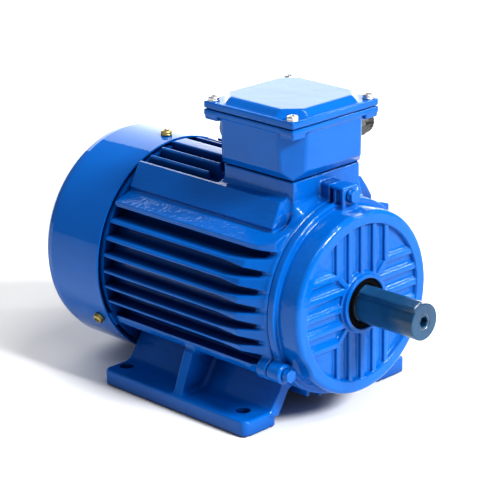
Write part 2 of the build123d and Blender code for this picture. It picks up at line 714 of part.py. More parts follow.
def fan_retaining_ring():
    """The ring that keeps the fan on the shaft."""
    return ring(-141.9, -140.9, 15.5, FAN_SEAT_RADIUS - 0.65)


# ---------------------------------------------------------------- terminal box

def box_section(width, z, corner_sum=None):
    """A square section of the box, its corners cut off where a diagonal limit is given."""
    half = width / 2
    cut = 0.0 if corner_sum is None else 2 * half - corner_sum
    if cut < 0.05:
        shape = Rectangle(width, width)
    else:
        near = half - cut
        shape = Polygon((half, near), (near, half), (-near, half), (-half, near),
                        (-half, -near), (-near, -half), (near, -half), (half, -near), align=None)
    return Plane.XY.offset(z) * Pos(BOX_X, 0) * shape


def box_outside():
    """The drafted outer form of the box below its flange."""
    body = loft([box_section(BOX_BOTTOM_WIDTH, BOX_EDGE_Z, BOX_CORNER_SUM),
                 box_section(BOX_TOP_WIDTH, BOX_FLANGE_BOTTOM_Z, BOX_CORNER_SUM + 1)], ruled=True)
    base = loft([box_section(BOX_BASE_WIDTH, BOX_BASE_Z, BOX_CORNER_SUM - 0.6),
                 box_section(BOX_BOTTOM_WIDTH, BOX_EDGE_Z, BOX_CORNER_SUM)], ruled=True)
    return body + base


def lid_screw_places():
    """The (x, y) places of the lid's four screws."""
    half = LID_SCREW_SPACING / 2
    return [(BOX_X + sx * half, sy * half) for sx in (-1, 1) for sy in (-1, 1)]


def terminal_box_body():
    """The cast box with its rim, corner lugs and cable entries."""
    body = box_outside()
    rim = extrude(box_section(BOX_FLANGE, BOX_FLANGE_BOTTOM_Z), BOX_FLANGE_TOP_Z - BOX_FLANGE_BOTTOM_Z)
    body += rim
    for x, y in lid_screw_places():
        side_x = 1 if x > BOX_X else -1
        side_y = 1 if y > 0 else -1
        lug = Pos(x + side_x * -1.5, y + side_y * -1.5, (238.5 + BOX_FLANGE_BOTTOM_Z) / 2) * (
            Box(14, 14, BOX_FLANGE_BOTTOM_Z - 238.5 + 0.2))
        body += lug
    inner_corner = BOX_CORNER_SUM - BOX_WALL * 1.6
    hollow = loft([
        box_section(BOX_BOTTOM_WIDTH - 2 * BOX_WALL, BOX_FLOOR_Z, inner_corner),
        box_section(BOX_TOP_WIDTH - 2 * BOX_WALL, BOX_FLANGE_TOP_Z + 0.5, inner_corner)], ruled=True)
    body -= hollow
    body -= rod_z(BOX_X, 0, BOX_BASE_Z - 1, BOX_FLOOR_Z + 1, LEAD_OPENING_RADIUS)
    for x, y in box_screw_places():
        body -= rod_z(x, y, BOX_BASE_Z - 1, BOX_FLOOR_Z + 1, 2.8)
    for x, y in lid_screw_places():
        body -= rod_z(x, y, 240, BOX_FLANGE_TOP_Z + 1, 2.5)
    body -= rod_z(BOX_X, EARTH_SCREW_Y, BOX_FLOOR_Z - 3.2, BOX_FLOOR_Z + 1, 2.5)
    body -= entry_rod(gland_entry(), -12, 12, ENTRY_RADIUS)
    body -= entry_rod(plug_entry(), -12, 12, ENTRY_RADIUS)
    return body


def gland_entry():
    """A plane on the box's +Y wall at the gland, its normal pointing out."""
    return Plane(origin=(BOX_X + ENTRY_OFFSET, ENTRY_WALL, ENTRY_Z), x_dir=(1, 0, 0), z_dir=(0, 1, 0))


def plug_entry():
    """A plane on the box's wall towards the fan at the blanking plug, its normal pointing out."""
    return Plane(origin=(BOX_X - ENTRY_WALL, -ENTRY_OFFSET, ENTRY_Z), x_dir=(0, 1, 0), z_dir=(-1, 0, 0))


def entry_rod(plane, start, end, radius):
    """A cylinder on a cable entry's axis, between two distances from the wall."""
    return extrude(plane.offset(start) * Circle(radius), end - start)


def terminal_box_gasket():
    """The flat gasket between the box and its seat."""
    sheet = block(BOX_X - 38, BOX_X + 38, -38, 38, PEDESTAL_TOP_Z, BOX_BASE_Z)
    sheet -= rod_z(BOX_X, 0, PEDESTAL_TOP_Z - 1, BOX_BASE_Z + 1, LEAD_OPENING_RADIUS)
    for x, y in box_screw_places():
        sheet -= rod_z(x, y, PEDESTAL_TOP_Z - 1, BOX_BASE_Z + 1, 2.8)
    return sheet


def lid_gasket():
    """The gasket under the lid, set back from the rim's edge."""
    sheet = extrude(box_section(BOX_FLANGE - 4, BOX_FLANGE_TOP_Z), LID_BOTTOM_Z - BOX_FLANGE_TOP_Z)
    sheet -= extrude(box_section(84, BOX_FLANGE_TOP_Z - 1, 74), 4)
    for x, y in lid_screw_places():
        sheet -= rod_z(x, y, BOX_FLANGE_TOP_Z - 1, LID_BOTTOM_Z + 1, 2.8)
    return sheet


def terminal_box_lid():
    """The lid: a square rim and a raised centre with sloping sides."""
    lid = extrude(box_section(BOX_FLANGE, LID_BOTTOM_Z), LID_FLANGE_TOP_Z - LID_BOTTOM_Z)
    lid += loft([box_section(95.5, LID_FLANGE_TOP_Z, 75.5), box_section(82, LID_TOP_Z, 67.2)], ruled=True)
    lid -= loft([box_section(84, LID_BOTTOM_Z - 0.5, 72), box_section(76, LID_TOP_Z - 3.5, 62)], ruled=True)
    for x, y in lid_screw_places():
        lid -= rod_z(x, y, LID_BOTTOM_Z - 1, LID_FLANGE_TOP_Z + 1, 2.8)
    return lid


def pan_screw(x, y, seat_z, head_radius, head_height, shank_radius, shank_length):
    """A slotted cheese-head screw."""
    top_z = seat_z + head_height
    head = rod_z(x, y, seat_z, top_z, head_radius)
    head -= block(x - head_radius, x + head_radius, y - 0.6, y + 0.6, top_z - 1.4, top_z + 1)
    return head + rod_z(x, y, seat_z - shank_length, seat_z, shank_radius)


def flat_washer(x, y, z, outer, inner, thickness):
    """A plain upright washer."""
    return rod_z(x, y, z, z + thickness, outer) - rod_z(x, y, z - 1, z + thickness + 1, inner)


def lid_screws():
    """The four screws that hold the lid."""
    return group(pan_screw(x, y, LID_FLANGE_TOP_Z + 1.2, 4.3, 3.3, 2.45, 15) for x, y in lid_screw_places())


def lid_washers():
    """The washers under the lid screws."""
    return group(flat_washer(x, y, LID_FLANGE_TOP_Z, 5.0, 2.7, 1.2) for x, y in lid_screw_places())


def box_fixing_screws():
    """The screws that hold the box to its seat."""
    return group(pan_screw(x, y, BOX_FLOOR_Z + 1.0, 4.3, 3.3, 2.45, 17) for x, y in box_screw_places())


def box_fixing_washers():
    """The washers under the box fixing screws."""
    return group(flat_washer(x, y, BOX_FLOOR_Z, 5.0, 2.7, 1.0) for x, y in box_screw_places())




def stud_places():
    """Six studs in two rows of three."""
    return [(BOX_X + STUD_SPACING * column, STUD_ROW * row) for column in (-1, 0, 1) for row in (-1, 1)]


def terminal_board():
    """The moulded board that carries the six studs, on two legs."""
    board = block(BOX_X - 30, BOX_X + 30, -17, 17, BOARD_BOTTOM_Z, BOARD_TOP_Z)
    for side in (-1, 1):
        x = BOX_X + side * STUD_SPACING / 2
        board += block(x - 1, x + 1, -17, 17, BOARD_TOP_Z, BOARD_TOP_Z + 4)
    for side in (-1, 1):
        board += block(BOX_X + side * 27 - 3, BOX_X + side * 27 + 3, -8, 8, BOX_FLOOR_Z, BOARD_BOTTOM_Z)
    for x, y in stud_places():
        board -= rod_z(x, y, BOARD_BOTTOM_Z - 1, BOARD_TOP_Z + 1, 2.5)
    return board


def terminal_studs():
    """The six studs of the terminal board."""
    return group(rod_z(x, y, BOARD_BOTTOM_Z - 2, BOARD_TOP_Z + 14, 2.45) for x, y in stud_places())


def terminal_links():
    """The three brass links of the star or delta connection."""
    links = []
    for column in (-1, 0, 1):
        x = BOX_X + STUD_SPACING * column
        bar = block(x - 5, x + 5, -14, 14, BOARD_TOP_Z, BOARD_TOP_Z + 1)
        for row in (-1, 1):
            bar -= rod_z(x, STUD_ROW * row, BOARD_TOP_Z - 1, BOARD_TOP_Z + 2, 2.6)
        links.append(bar)
    return group(links)


def terminal_nuts():
    """The nuts on the terminal studs."""
    nuts = []
    for x, y in stud_places():
        nut = extrude(Plane.XY.offset(BOARD_TOP_Z + 1) * Pos(x, y) * RegularPolygon(8 / sqrt(3), 6), 4)
        nuts.append(nut - rod_z(x, y, BOARD_TOP_Z, BOARD_TOP_Z + 8, 2.5))
    return group(nuts)


def earth_screw():
    """The earth screw on the box's floor."""
    return pan_screw(BOX_X, EARTH_SCREW_Y, BOX_FLOOR_Z, 4.6, 3.6, 2.45, 3)


def cable_gland_body():
    """The gland's threaded spigot and hexagon."""
    entry = gland_entry()
    body = extrude(entry.offset(1) * RegularPolygon(24 / sqrt(3), 6), 6)
    body += entry_rod(entry, -11, 1, ENTRY_RADIUS - 0.1) + entry_rod(entry, 7, 13, 9.6)
    body += entry_rod(entry, 0, 1, 13.0)
    return body - entry_rod(entry, -12, 14, 7.6)


def cable_gland_nut():
    """The domed cap nut that squeezes the gland's seal."""
    entry = gland_entry()
    nut = extrude(entry.offset(7.3) * RegularPolygon(23 / sqrt(3), 6), 9)
    nut += loft([entry.offset(16.3) * Circle(11.4), entry.offset(21.8) * Circle(8.6)], ruled=True)
    nut -= entry_rod(entry, 7, 17.3, 9.7)
    return nut - entry_rod(entry, 7, 23, 6.6)


def cable_gland_seal():
    """The gland's rubber sleeve, which grips the supply cable."""
    entry = gland_entry()
    seal = entry_rod(entry, 1, 17, 7.5)
    return seal - entry_rod(entry, 0, 18, 5.25)


def gland_lock_nut():
    """The nut inside the box that holds the gland."""
    entry = gland_entry()
    nut = extrude(entry.offset(-10.5) * RegularPolygon(24 / sqrt(3), 6, rotation=30), 4.2)
    return nut - entry_rod(entry, -12, 0, ENTRY_RADIUS)


def blanking_plug():
    """The plug that closes the unused cable entry."""
    entry = plug_entry()
    plug = entry_rod(entry, 0, 4, 12.0) + entry_rod(entry, -10, 0, ENTRY_RADIUS - 0.1)
    return plug - entry_rod(entry, -11, 1, 7.5)


# ---------------------------------------------------------------- rating plate

def plate_plane():
    """A plane on the sloping +Y panel, its normal pointing out."""
    low = (58.5, 166.0)
    high = (48.0, 185.5)
    length = sqrt((high[0] - low[0]) ** 2 + (high[1] - low[1]) ** 2)
    normal = (0, (high[1] - low[1]) / length, (low[0] - high[0]) / length)
    middle = (20, (low[0] + high[0]) / 2, (low[1] + high[1]) / 2)
    return Plane(origin=middle, x_dir=(-1, 0, 0), z_dir=normal)


def plate_rivet_places():
    """The places of the rating plate's rivets on its own plane."""
    return [(-31.0, 0.0), (31.0, 0.0)]


def rating_plate():
    """The blank rating plate on the panel away from the shaft key."""
    plate = extrude(plate_plane() * RectangleRounded(70, 17, 2), 0.6)
    for x, y in plate_rivet_places():
        plate -= extrude(plate_plane().offset(-1) * Pos(x, y) * Circle(1.3), 3)
    return plate


def plate_rivets():
    """The two rivets of the rating plate."""
    rivets = []
    for x, y in plate_rivet_places():
        stem = extrude(plate_plane().offset(-4) * Pos(x, y) * Circle(1.2), 4.6)
        head = extrude(plate_plane().offset(0.6) * Pos(x, y) * Circle(2.2), 0.9)
        rivets.append(stem + head)
    return group(rivets)


def plate_rivet_holes():
    """The rivet holes in the sloping panel."""
    holes = Part()
    for x, y in plate_rivet_places():
        holes += extrude(plate_plane().offset(-4.2) * Pos(x, y) * Circle(1.25), 6)
    return holes


# ---------------------------------------------------------------- all nodes

NODES = {
    "frame_housing": frame_housing,
    "drive_end_shield": drive_end_shield,
    "fan_end_shield": fan_end_shield,
    "fan_cover": fan_cover,
    "stator_core": stator_core,
    "stator_winding": stator_winding,
    "winding_leads": lead_bundle,
    "drive_end_bolts": drive_end_bolts,
    "drive_end_washers": drive_end_washers,
    "fan_end_bolts": fan_end_bolts,
    "fan_end_washers": fan_end_washers,
    "fan_cover_screws": fan_cover_screws,
    "fan_cover_washers": fan_cover_washers,
    "drive_bearing_outer_ring": lambda: outer_ring(DRIVE_BEARING_X),
    "drive_bearing_inner_ring": lambda: inner_ring(DRIVE_BEARING_X),
    "drive_bearing_balls": lambda: balls(DRIVE_BEARING_X),
    "drive_bearing_cage": lambda: ball_cage(DRIVE_BEARING_X),
    "fan_bearing_outer_ring": lambda: outer_ring(FAN_BEARING_X),
    "fan_bearing_inner_ring": lambda: inner_ring(FAN_BEARING_X),
    "fan_bearing_balls": lambda: balls(FAN_BEARING_X),
    "fan_bearing_cage": lambda: ball_cage(FAN_BEARING_X),
    "bearing_wave_spring": wave_spring,
    "drive_oil_seal": drive_oil_seal,
    "fan_end_seal": fan_seal,
    "shaft": shaft,
    "shaft_key": shaft_key,
    "shaft_end_plug": shaft_end_plug,
    "shaft_coating": shaft_coating,
    "rotor_core": rotor_core,
    "rotor_cage": rotor_cage,
    "cooling_fan": cooling_fan,
    "fan_key": fan_key,
    "fan_retaining_ring": fan_retaining_ring,
    "terminal_box_body": terminal_box_body,
    "terminal_box_gasket": terminal_box_gasket,
    "box_fixing_screws": box_fixing_screws,
    "box_fixing_washers": box_fixing_washers,
    "terminal_board": terminal_board,
    "terminal_studs": terminal_studs,
    "terminal_nuts": terminal_nuts,
    "terminal_links": terminal_links,
    "earth_screw": earth_screw,
    "cable_gland_body": cable_gland_body,
    "cable_gland_nut": cable_gland_nut,
    "cable_gland_seal": cable_gland_seal,
    "gland_lock_nut": gland_lock_nut,
    "blanking_plug": blanking_plug,
    "lid_gasket": lid_gasket,
    "terminal_box_lid": terminal_box_lid,
    "lid_screws": lid_screws,
    "lid_washers": lid_washers,
    "rating_plate": rating_plate,
    "plate_rivets": plate_rivets,
}

os.makedirs("parts", exist_ok=True)
for name, make in NODES.items():
    export_step(make(), f"parts/{name}.step")
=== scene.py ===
"""The looks of the electric motor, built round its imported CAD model.

Cast and moulded parts are drawn as distance fields, in millimetres, and meshed here, so that their
edges and inside corners are rounded the way thick paint on a casting is.
"""
import json
from math import cos, radians, sin, sqrt

import bmesh
import bpy
import numpy as np
from mathutils import Matrix, Vector


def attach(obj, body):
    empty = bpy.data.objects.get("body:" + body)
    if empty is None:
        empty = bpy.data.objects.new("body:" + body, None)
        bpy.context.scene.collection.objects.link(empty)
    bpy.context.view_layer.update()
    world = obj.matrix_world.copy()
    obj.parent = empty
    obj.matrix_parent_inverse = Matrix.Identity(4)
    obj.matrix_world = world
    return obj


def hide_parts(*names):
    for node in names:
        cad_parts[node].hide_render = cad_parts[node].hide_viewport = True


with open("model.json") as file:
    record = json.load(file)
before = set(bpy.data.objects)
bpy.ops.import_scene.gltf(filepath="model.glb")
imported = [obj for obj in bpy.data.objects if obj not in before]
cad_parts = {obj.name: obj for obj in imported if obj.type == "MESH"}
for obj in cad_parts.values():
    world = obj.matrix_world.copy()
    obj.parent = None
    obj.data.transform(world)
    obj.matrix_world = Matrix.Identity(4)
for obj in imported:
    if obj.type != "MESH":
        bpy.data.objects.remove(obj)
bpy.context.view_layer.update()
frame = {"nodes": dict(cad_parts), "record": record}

NODES = frame["nodes"]
MM = 0.001

# Places shared by several pieces, in millimetres and degrees
AXIS = 100.0
EARS = (90.0, 210.0, 330.0)
EAR_CIRCLE = 87.5
EAR_Y = cos(radians(30.0))
EAR_Z = sin(radians(30.0))
BOX_X = 50.0
DIAGONAL = 0.7071


# ------------------------------------------------------------ distance fields

def slab(v, low, high):
    """Between low and high."""
    return np.maximum(low - v, v - high)


def both(a, b, r):
    """Where both hold, with the edge between them rounded to radius r."""
    u = np.maximum(a + r, 0)
    v = np.maximum(b + r, 0)
    return np.sqrt(u * u + v * v) + np.minimum(np.maximum(a, b) + r, 0) - r


def join(a, b, k):
    """Either, with a fillet of about k where they meet."""
    h = np.maximum(k - np.abs(a - b), 0) / k
    return np.minimum(a, b) - h * h * k * 0.25


def cut(a, b, k):
    """a without b, with a rounded edge of about k."""
    return -join(-a, b, k)


def polygon(u, v, points):
    """Signed distance to a closed outline."""
    best = np.full(np.shape(u), 1e9, dtype=np.asarray(u).dtype)
    sign = np.ones(np.shape(u), dtype=np.float32)
    for (u0, v0), (u1, v1) in zip(points, points[1:] + points[:1]):
        eu, ev = u1 - u0, v1 - v0
        wu, wv = u - u0, v - v0
        t = np.clip((wu * eu + wv * ev) / (eu * eu + ev * ev), 0, 1)
        du, dv = wu - eu * t, wv - ev * t
        best = np.minimum(best, du * du + dv * dv)
        c1, c2, c3 = v >= v0, v < v1, eu * wv > ev * wu
        flip = (c1 & c2 & c3) | (~c1 & ~c2 & ~c3)
        sign = np.where(flip, -sign, sign)
    return sign * np.sqrt(best)


def block(x, y, z, low, high, r):
    """A box with all edges rounded to r."""
    q = [np.abs(p - (a + b) / 2) - (b - a) / 2 + r for p, a, b in zip((x, y, z), low, high)]
    outside = np.sqrt(sum(np.maximum(c, 0) ** 2 for c in q))
    return outside + np.minimum(np.maximum(np.maximum(q[0], q[1]), q[2]), 0) - r


def hexagon(u, v, across):
    """Distance to a hexagon of that size across flats, two flats facing v."""
    half = across / 2
    return np.maximum(np.abs(v), np.abs(u) * (sqrt(3) / 2) + np.abs(v) / 2) - half


# ------------------------------------------------------------ meshing a field

BLOCK = 4
CHUNK = 400000
NEAR = 1.35
SETTLING_ROUNDS = 3
SETTLING_REACH = 0.04
NORMAL_REACH = 0.18


def sample(field, points):
    """The field at many points, some at a time to save memory."""
    out = np.empty(len(points), np.float32)
    for i in range(0, len(points), CHUNK):
        p = points[i:i + CHUNK].astype(np.float32)
        out[i:i + CHUNK] = field(p[:, 0], p[:, 1], p[:, 2])
    return out


def slope(field, p, reach):
    """The field's gradient at the points, over twice the reach."""
    g = np.empty_like(p)
    for axis in range(3):
        step = np.zeros(3)
        step[axis] = reach
        a, b = p + step, p - step
        rise = field(a[:, 0], a[:, 1], a[:, 2]) - field(b[:, 0], b[:, 1], b[:, 2])
        g[:, axis] = rise / (2 * reach)
    return g


def grid_values(field, low, high, step):
    """The grid's low corner, and the field on it: fine near the surface and coarse elsewhere."""
    low = np.array(low, float) - 1.5 * step
    n = np.ceil((np.array(high, float) + 1.5 * step - low) / step / BLOCK).astype(int)
    reach = step * BLOCK
    centres = np.indices(n).reshape(3, -1).T * reach + low + reach / 2 - step / 2
    coarse = sample(field, centres).reshape(n)
    phi = coarse.repeat(BLOCK, 0).repeat(BLOCK, 1).repeat(BLOCK, 2)
    near = np.argwhere(np.abs(coarse) < NEAR * reach)
    inner = np.indices((BLOCK,) * 3).reshape(3, -1).T
    at = (near[:, None, :] * BLOCK + inner[None]).reshape(-1, 3)
    phi[at[:, 0], at[:, 1], at[:, 2]] = sample(field, at * step + low)
    return low, phi


def crossed_cells(solid):
    """The cells that the surface passes through, and every cell's number among them or -1."""
    s = solid.astype(np.uint8)
    for axis in range(3):
        s = np.take(s, range(s.shape[axis] - 1), axis) + np.take(s, range(1, s.shape[axis]), axis)
    cells = np.argwhere((s > 0) & (s < 8))
    number = np.full(s.shape, -1, np.int32)
    number[cells[:, 0], cells[:, 1], cells[:, 2]] = np.arange(len(cells))
    return cells, number


def cell_points(phi, cells):
    """A point in each cell: the mean of the places where the surface crosses its edges."""
    total = np.zeros((len(cells), 3))
    count = np.zeros(len(cells))
    corners = {}
    for c in np.ndindex(2, 2, 2):
        q = cells + c
        corners[c] = phi[q[:, 0], q[:, 1], q[:, 2]].astype(float)
    for c in corners:
        for axis in range(3):
            if c[axis]:
                continue
            d = tuple(1 if i == axis else v for i, v in enumerate(c))
            a, b = corners[c], corners[d]
            crosses = (a < 0) != (b < 0)
            t = np.where(crosses, a / np.where(crosses, a - b, 1), 0)
            where = np.array(c, float)[None] + t[:, None] * np.eye(3)[axis]
            total += where * crosses[:, None]
            count += crosses
    return cells + total / count[:, None]


def cell_quads(solid, number):
    """A quad round each grid edge that the surface crosses, facing outward."""
    quads = []
    for axis in range(3):
        ua, ub = (axis + 1) % 3, (axis + 2) % 3
        first = np.take(solid, range(solid.shape[axis] - 1), axis)
        second = np.take(solid, range(1, solid.shape[axis]), axis)
        p = np.argwhere(first != second)
        inside = (p[:, ua] > 0) & (p[:, ub] > 0)
        p = p[inside & (p[:, ua] < number.shape[ua]) & (p[:, ub] < number.shape[ub])]
        ea, eb = np.eye(3, dtype=int)[ua], np.eye(3, dtype=int)[ub]
        ring = [p, p - ea, p - ea - eb, p - eb]
        q = np.stack([number[c[:, 0], c[:, 1], c[:, 2]] for c in ring], 1)
        outward = first[p[:, 0], p[:, 1], p[:, 2]]
        quads.append(np.where(outward[:, None], q, q[:, ::-1]))
    quads = np.concatenate(quads)
    return quads[(quads >= 0).all(1)]


def surface(field, low, high, step):
    """Vertices, quads and normals of field = 0, by surface nets on the cells near it."""
    corner, phi = grid_values(field, low, high, step)
    solid = phi < 0
    cells, number = crossed_cells(solid)
    verts = corner + cell_points(phi, cells) * step
    quads = cell_quads(solid, number)
    for _ in range(SETTLING_ROUNDS):
        g = slope(field, verts, SETTLING_REACH)
        move = field(verts[:, 0], verts[:, 1], verts[:, 2]) / np.maximum((g * g).sum(1), 0.2)
        verts -= np.clip(move, -0.5 * step, 0.5 * step)[:, None] * g
    g = slope(field, verts, NORMAL_REACH)
    normals = g / np.maximum(np.linalg.norm(g, axis=1), 1e-9)[:, None]
    return verts, quads, normals


def shaped(name, field, low, high, step):
    """A piece meshed from a field, placed where the field is."""
    verts, quads, normals = surface(field, low, high, step)
    mesh = bpy.data.meshes.new(name)
    mesh.vertices.add(len(verts))
    mesh.vertices.foreach_set("co", (verts * MM).astype(np.float32).ravel())
    mesh.loops.add(len(quads) * 4)
    mesh.loops.foreach_set("vertex_index", quads.astype(np.int32).ravel())
    mesh.polygons.add(len(quads))
    mesh.polygons.foreach_set("loop_start", np.arange(0, len(quads) * 4, 4, dtype=np.int32))
    mesh.update(calc_edges=True)
    mesh.validate()
    mesh.polygons.foreach_set("use_smooth", np.ones(len(mesh.polygons), bool))
    mesh.normals_split_custom_set_from_vertices(normals.astype(np.float32))
    piece = bpy.data.objects.new(name, mesh)
    bpy.context.scene.collection.objects.link(piece)
    return piece


def scatter(name, field, low, high, step, places):
    """One piece holding a copy of the meshed field at each place."""
    piece = shaped(name, field, low, high, step)
    first = piece.data
    whole = bmesh.new()
    normals = []
    for place in places:
        copy = first.copy()
        copy.transform(place)
        copy.update()
        normals.extend(n.vector.copy() for n in copy.corner_normals)
        whole.from_mesh(copy)
        bpy.data.meshes.remove(copy)
    mesh = bpy.data.meshes.new(name + "_mesh")
    whole.to_mesh(mesh)
    whole.free()
    mesh.normals_split_custom_set([n.normalized() for n in normals])
    piece.data = mesh
    return piece


def radial_places(angles, radius, at_x, outward):
    """Frames about the shaft: z along the shaft, or straight out from it."""
    out = []
    for angle in angles:
        a = radians(angle)
        away = Vector((0, cos(a), sin(a)))
        if outward:
            z_dir, x_dir = away, Vector((1, 0, 0))
        else:
            z_dir, x_dir = Vector((1, 0, 0)), away
        y_dir = z_dir.cross(x_dir)
        m = Matrix((x_dir, y_dir, z_dir)).transposed().to_4x4()
        m.translation = (Vector((at_x, 0, AXIS)) + away * radius) * MM
        out.append(m)
    return out


def finish_piece(piece, body, slot, material, *replaced):
    """Ties a piece to its body and material, and takes the replaced CAD nodes' place. The slot is not used.
    """
    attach(piece, body)
    piece.data.materials.clear()
    piece.data.materials.append(material)
    if replaced:
        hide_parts(*replaced)


# ------------------------------------------------------------ materials

def node_material(name):
    """A material, its node tree and its shader."""
    m = bpy.data.materials.new(name)
    m.use_nodes = True
    tree = m.node_tree
    return m, tree, tree.nodes["Principled BSDF"]


def add(tree, kind, **values):
    """A node with these inputs or settings."""
    n = tree.nodes.new(kind)
    for key, value in values.items():
        if key in n.inputs:
            n.inputs[key].default_value = value
        else:
            setattr(n, key, value)
    return n


def noise(tree, coord, scale, detail=3.0, roughness=0.55):
    """A noise value from 0 to 1."""
    n = add(tree, "ShaderNodeTexNoise", Scale=scale, Detail=detail, Roughness=roughness)
    tree.links.new(coord, n.inputs["Vector"])
    return n.outputs["Fac"]


def remap(tree, value, low, high, to_low, to_high):
    """A value carried from one range to another."""
    n = add(tree, "ShaderNodeMapRange")
    tree.links.new(value, n.inputs["Value"])
    for key, v in (("From Min", low), ("From Max", high), ("To Min", to_low), ("To Max", to_high)):
        n.inputs[key].default_value = v
    return n.outputs["Result"]


def two_tone(tree, value, dark, light):
    """A colour that goes from dark to light with a noise value."""
    n = add(tree, "ShaderNodeValToRGB")
    tree.links.new(value, n.inputs["Fac"])
    stops = ((0.3, linear(*dark)), (0.7, linear(*light)))
    for e, (at, colour) in zip(n.color_ramp.elements, stops):
        e.position = at
        e.color = (*colour, 1)
    return n.outputs["Color"]


def bump(tree, heights, radius=None):
    """Chains bump nodes of (height socket, distance in metres, strength)."""
    last = None
    if radius:
        bevel = add(tree, "ShaderNodeBevel", samples=4, Radius=radius)
        last = bevel.outputs["Normal"]
    for height, distance, strength in heights:
        n = add(tree, "ShaderNodeBump", Distance=distance, Strength=strength)
        tree.links.new(height, n.inputs["Height"])
        if last is not None:
            tree.links.new(last, n.inputs["Normal"])
        last = n.outputs["Normal"]
    return last


def coordinates(tree):
    """The piece's own coordinates, in metres."""
    return add(tree, "ShaderNodeTexCoord").outputs["Object"]


def linear(r, g, b):
    """Linear values of an 8-bit display colour."""
    return tuple(c / 255 / 12.92 if c <= 10 else ((c / 255 + 0.055) / 1.055) ** 2.4 for c in (r, g, b))


ENAMEL = (2, 98, 183)
ENAMEL_DARK = (2, 88, 168)
# painted shade: the dark navy that ambient occlusion mixes into the enamel in hollows
ENAMEL_PAINTED_SHADE = (1, 20, 80)


def paint(name, skin, painted_shade_reach, rough=0.3):
    """Glossy blue enamel, with painted shade: ambient occlusion mixes dark navy into it in hollows.

    skin lists the waves of the surface under it: scale, height, strength. The last argument, in metres, is
    how far that painted shade reaches.
    """
    m, tree, shader = node_material(name)
    at = coordinates(tree)
    wide = noise(tree, at, 14, 4)
    shader.inputs["Coat Weight"].default_value = 1.0
    shader.inputs["Coat Roughness"].default_value = 0.04
    shader.inputs["Coat IOR"].default_value = 1.35
    shader.inputs["Specular IOR Level"].default_value = 0.0
    # painted shade: ambient occlusion darkens the enamel towards navy in hollows and between fins
    hollow = add(tree, "ShaderNodeAmbientOcclusion", samples=8, Distance=painted_shade_reach)
    shade = add(tree, "ShaderNodeMix", data_type="RGBA", blend_type="MIX")
    open_sky = remap(tree, hollow.outputs["AO"], 0.1, 0.8, 0, 1)
    tree.links.new(open_sky, shade.inputs[0])
    shade.inputs[6].default_value = (*linear(*ENAMEL_PAINTED_SHADE), 1)
    tree.links.new(two_tone(tree, wide, ENAMEL_DARK, ENAMEL), shade.inputs[7])
    tree.links.new(shade.outputs[2], shader.inputs["Base Color"])
    matt = remap(tree, noise(tree, at, 90, 3), 0.3, 0.7, rough, rough + 0.12)
    tree.links.new(matt, shader.inputs["Roughness"])
    waves = [(noise(tree, at, scale, 2), height, strength) for scale, height, strength in skin]
    normal = bump(tree, waves)
    tree.links.new(normal, shader.inputs["Normal"])
    tree.links.new(normal, shader.inputs["Coat Normal"])
    return m


def metal(name, colour, dark, rough, grain=(1, 1, 1), depth=0.0002):
    """Machined or rolled metal with a fine grain stretched along an axis."""
    m, tree, shader = node_material(name)
    at = coordinates(tree)
    stretch = add(tree, "ShaderNodeMapping")
    stretch.inputs["Scale"].default_value = grain
    tree.links.new(at, stretch.inputs["Vector"])
    fine = noise(tree, stretch.outputs["Vector"], 900, 3)
    wide = noise(tree, at, 60, 3)
    shader.inputs["Metallic"].default_value = 1.0
    tree.links.new(two_tone(tree, wide, dark, colour), shader.inputs["Base Color"])
    tree.links.new(remap(tree, fine, 0.3, 0.7, rough, rough + 0.15), shader.inputs["Roughness"])
    tree.links.new(bump(tree, [(fine, depth, 0.2)], EDGE_WEAR), shader.inputs["Normal"])
    return m


def plastic(name, colour, dark, rough, scale=500, depth=0.0003, shine=0.5):
    """Moulded plastic or rubber with a fine skin."""
    m, tree, shader = node_material(name)
    at = coordinates(tree)
    fine = noise(tree, at, scale, 2)
    wide = noise(tree, at, 40, 3)
    shader.inputs["Specular IOR Level"].default_value = shine
    tree.links.new(two_tone(tree, wide, dark, colour), shader.inputs["Base Color"])
    tree.links.new(remap(tree, wide, 0.3, 0.7, rough, rough + 0.1), shader.inputs["Roughness"])
    tree.links.new(bump(tree, [(fine, depth, 0.25)], EDGE_WEAR), shader.inputs["Normal"])
    return m


EDGE_WEAR = 0.0004
CAST_SKIN = [(62, 0.0018, 0.22), (240, 0.0009, 0.34)]
# each paint's last number is the reach, in metres, of its painted shade in hollows
CAST = paint("blue_cast_enamel", CAST_SKIN, 0.024)
SHIELD = paint("blue_shield_enamel", CAST_SKIN, 0.0025)
SMOOTH = paint("blue_box_enamel", [(48, 0.0016, 0.14), (330, 0.0004, 0.12)], 0.006)
SHEET = paint("blue_sheet_enamel", [(200, 0.0003, 0.06)], 0.006, rough=0.2)
SHAFT = metal("shaft_steel", (150, 156, 160), (120, 128, 134), 0.28, (12, 1, 1))
FILM = plastic("shaft_film", (28, 76, 108), (20, 60, 92), 0.14, 160, 0.0002)
SILVER = metal("white_zinc", (225, 226, 226), (196, 198, 200), 0.24)
ZINC = metal("yellow_zinc", (196, 180, 120), (160, 140, 80), 0.3)
CHROME = metal("bearing_steel", (205, 205, 205), (180, 180, 182), 0.12)
STEEL = metal("sheet_steel", (160, 160, 160), (130, 130, 132), 0.35)
BRASS = metal("brass", (200, 165, 90), (170, 130, 65), 0.3)
COPPER = metal("varnished_winding", (150, 82, 48), (95, 45, 25), 0.3, (1, 6, 6), 0.0008)
LAMINATION = metal("lamination_edges", (110, 112, 115), (70, 72, 76), 0.4, (40, 1, 1), 0.0006)
ALUMINIUM = metal("cast_aluminium", (190, 192, 196), (160, 162, 166), 0.4)
PLATE = metal("plate_aluminium", (200, 202, 206), (180, 182, 186), 0.32, (10, 1, 1))
RUBBER = plastic("black_rubber", (7, 9, 14), (4, 6, 10), 0.75, shine=0.08)
GASKET = plastic("pale_gasket", (128, 146, 172), (104, 124, 152), 0.6)
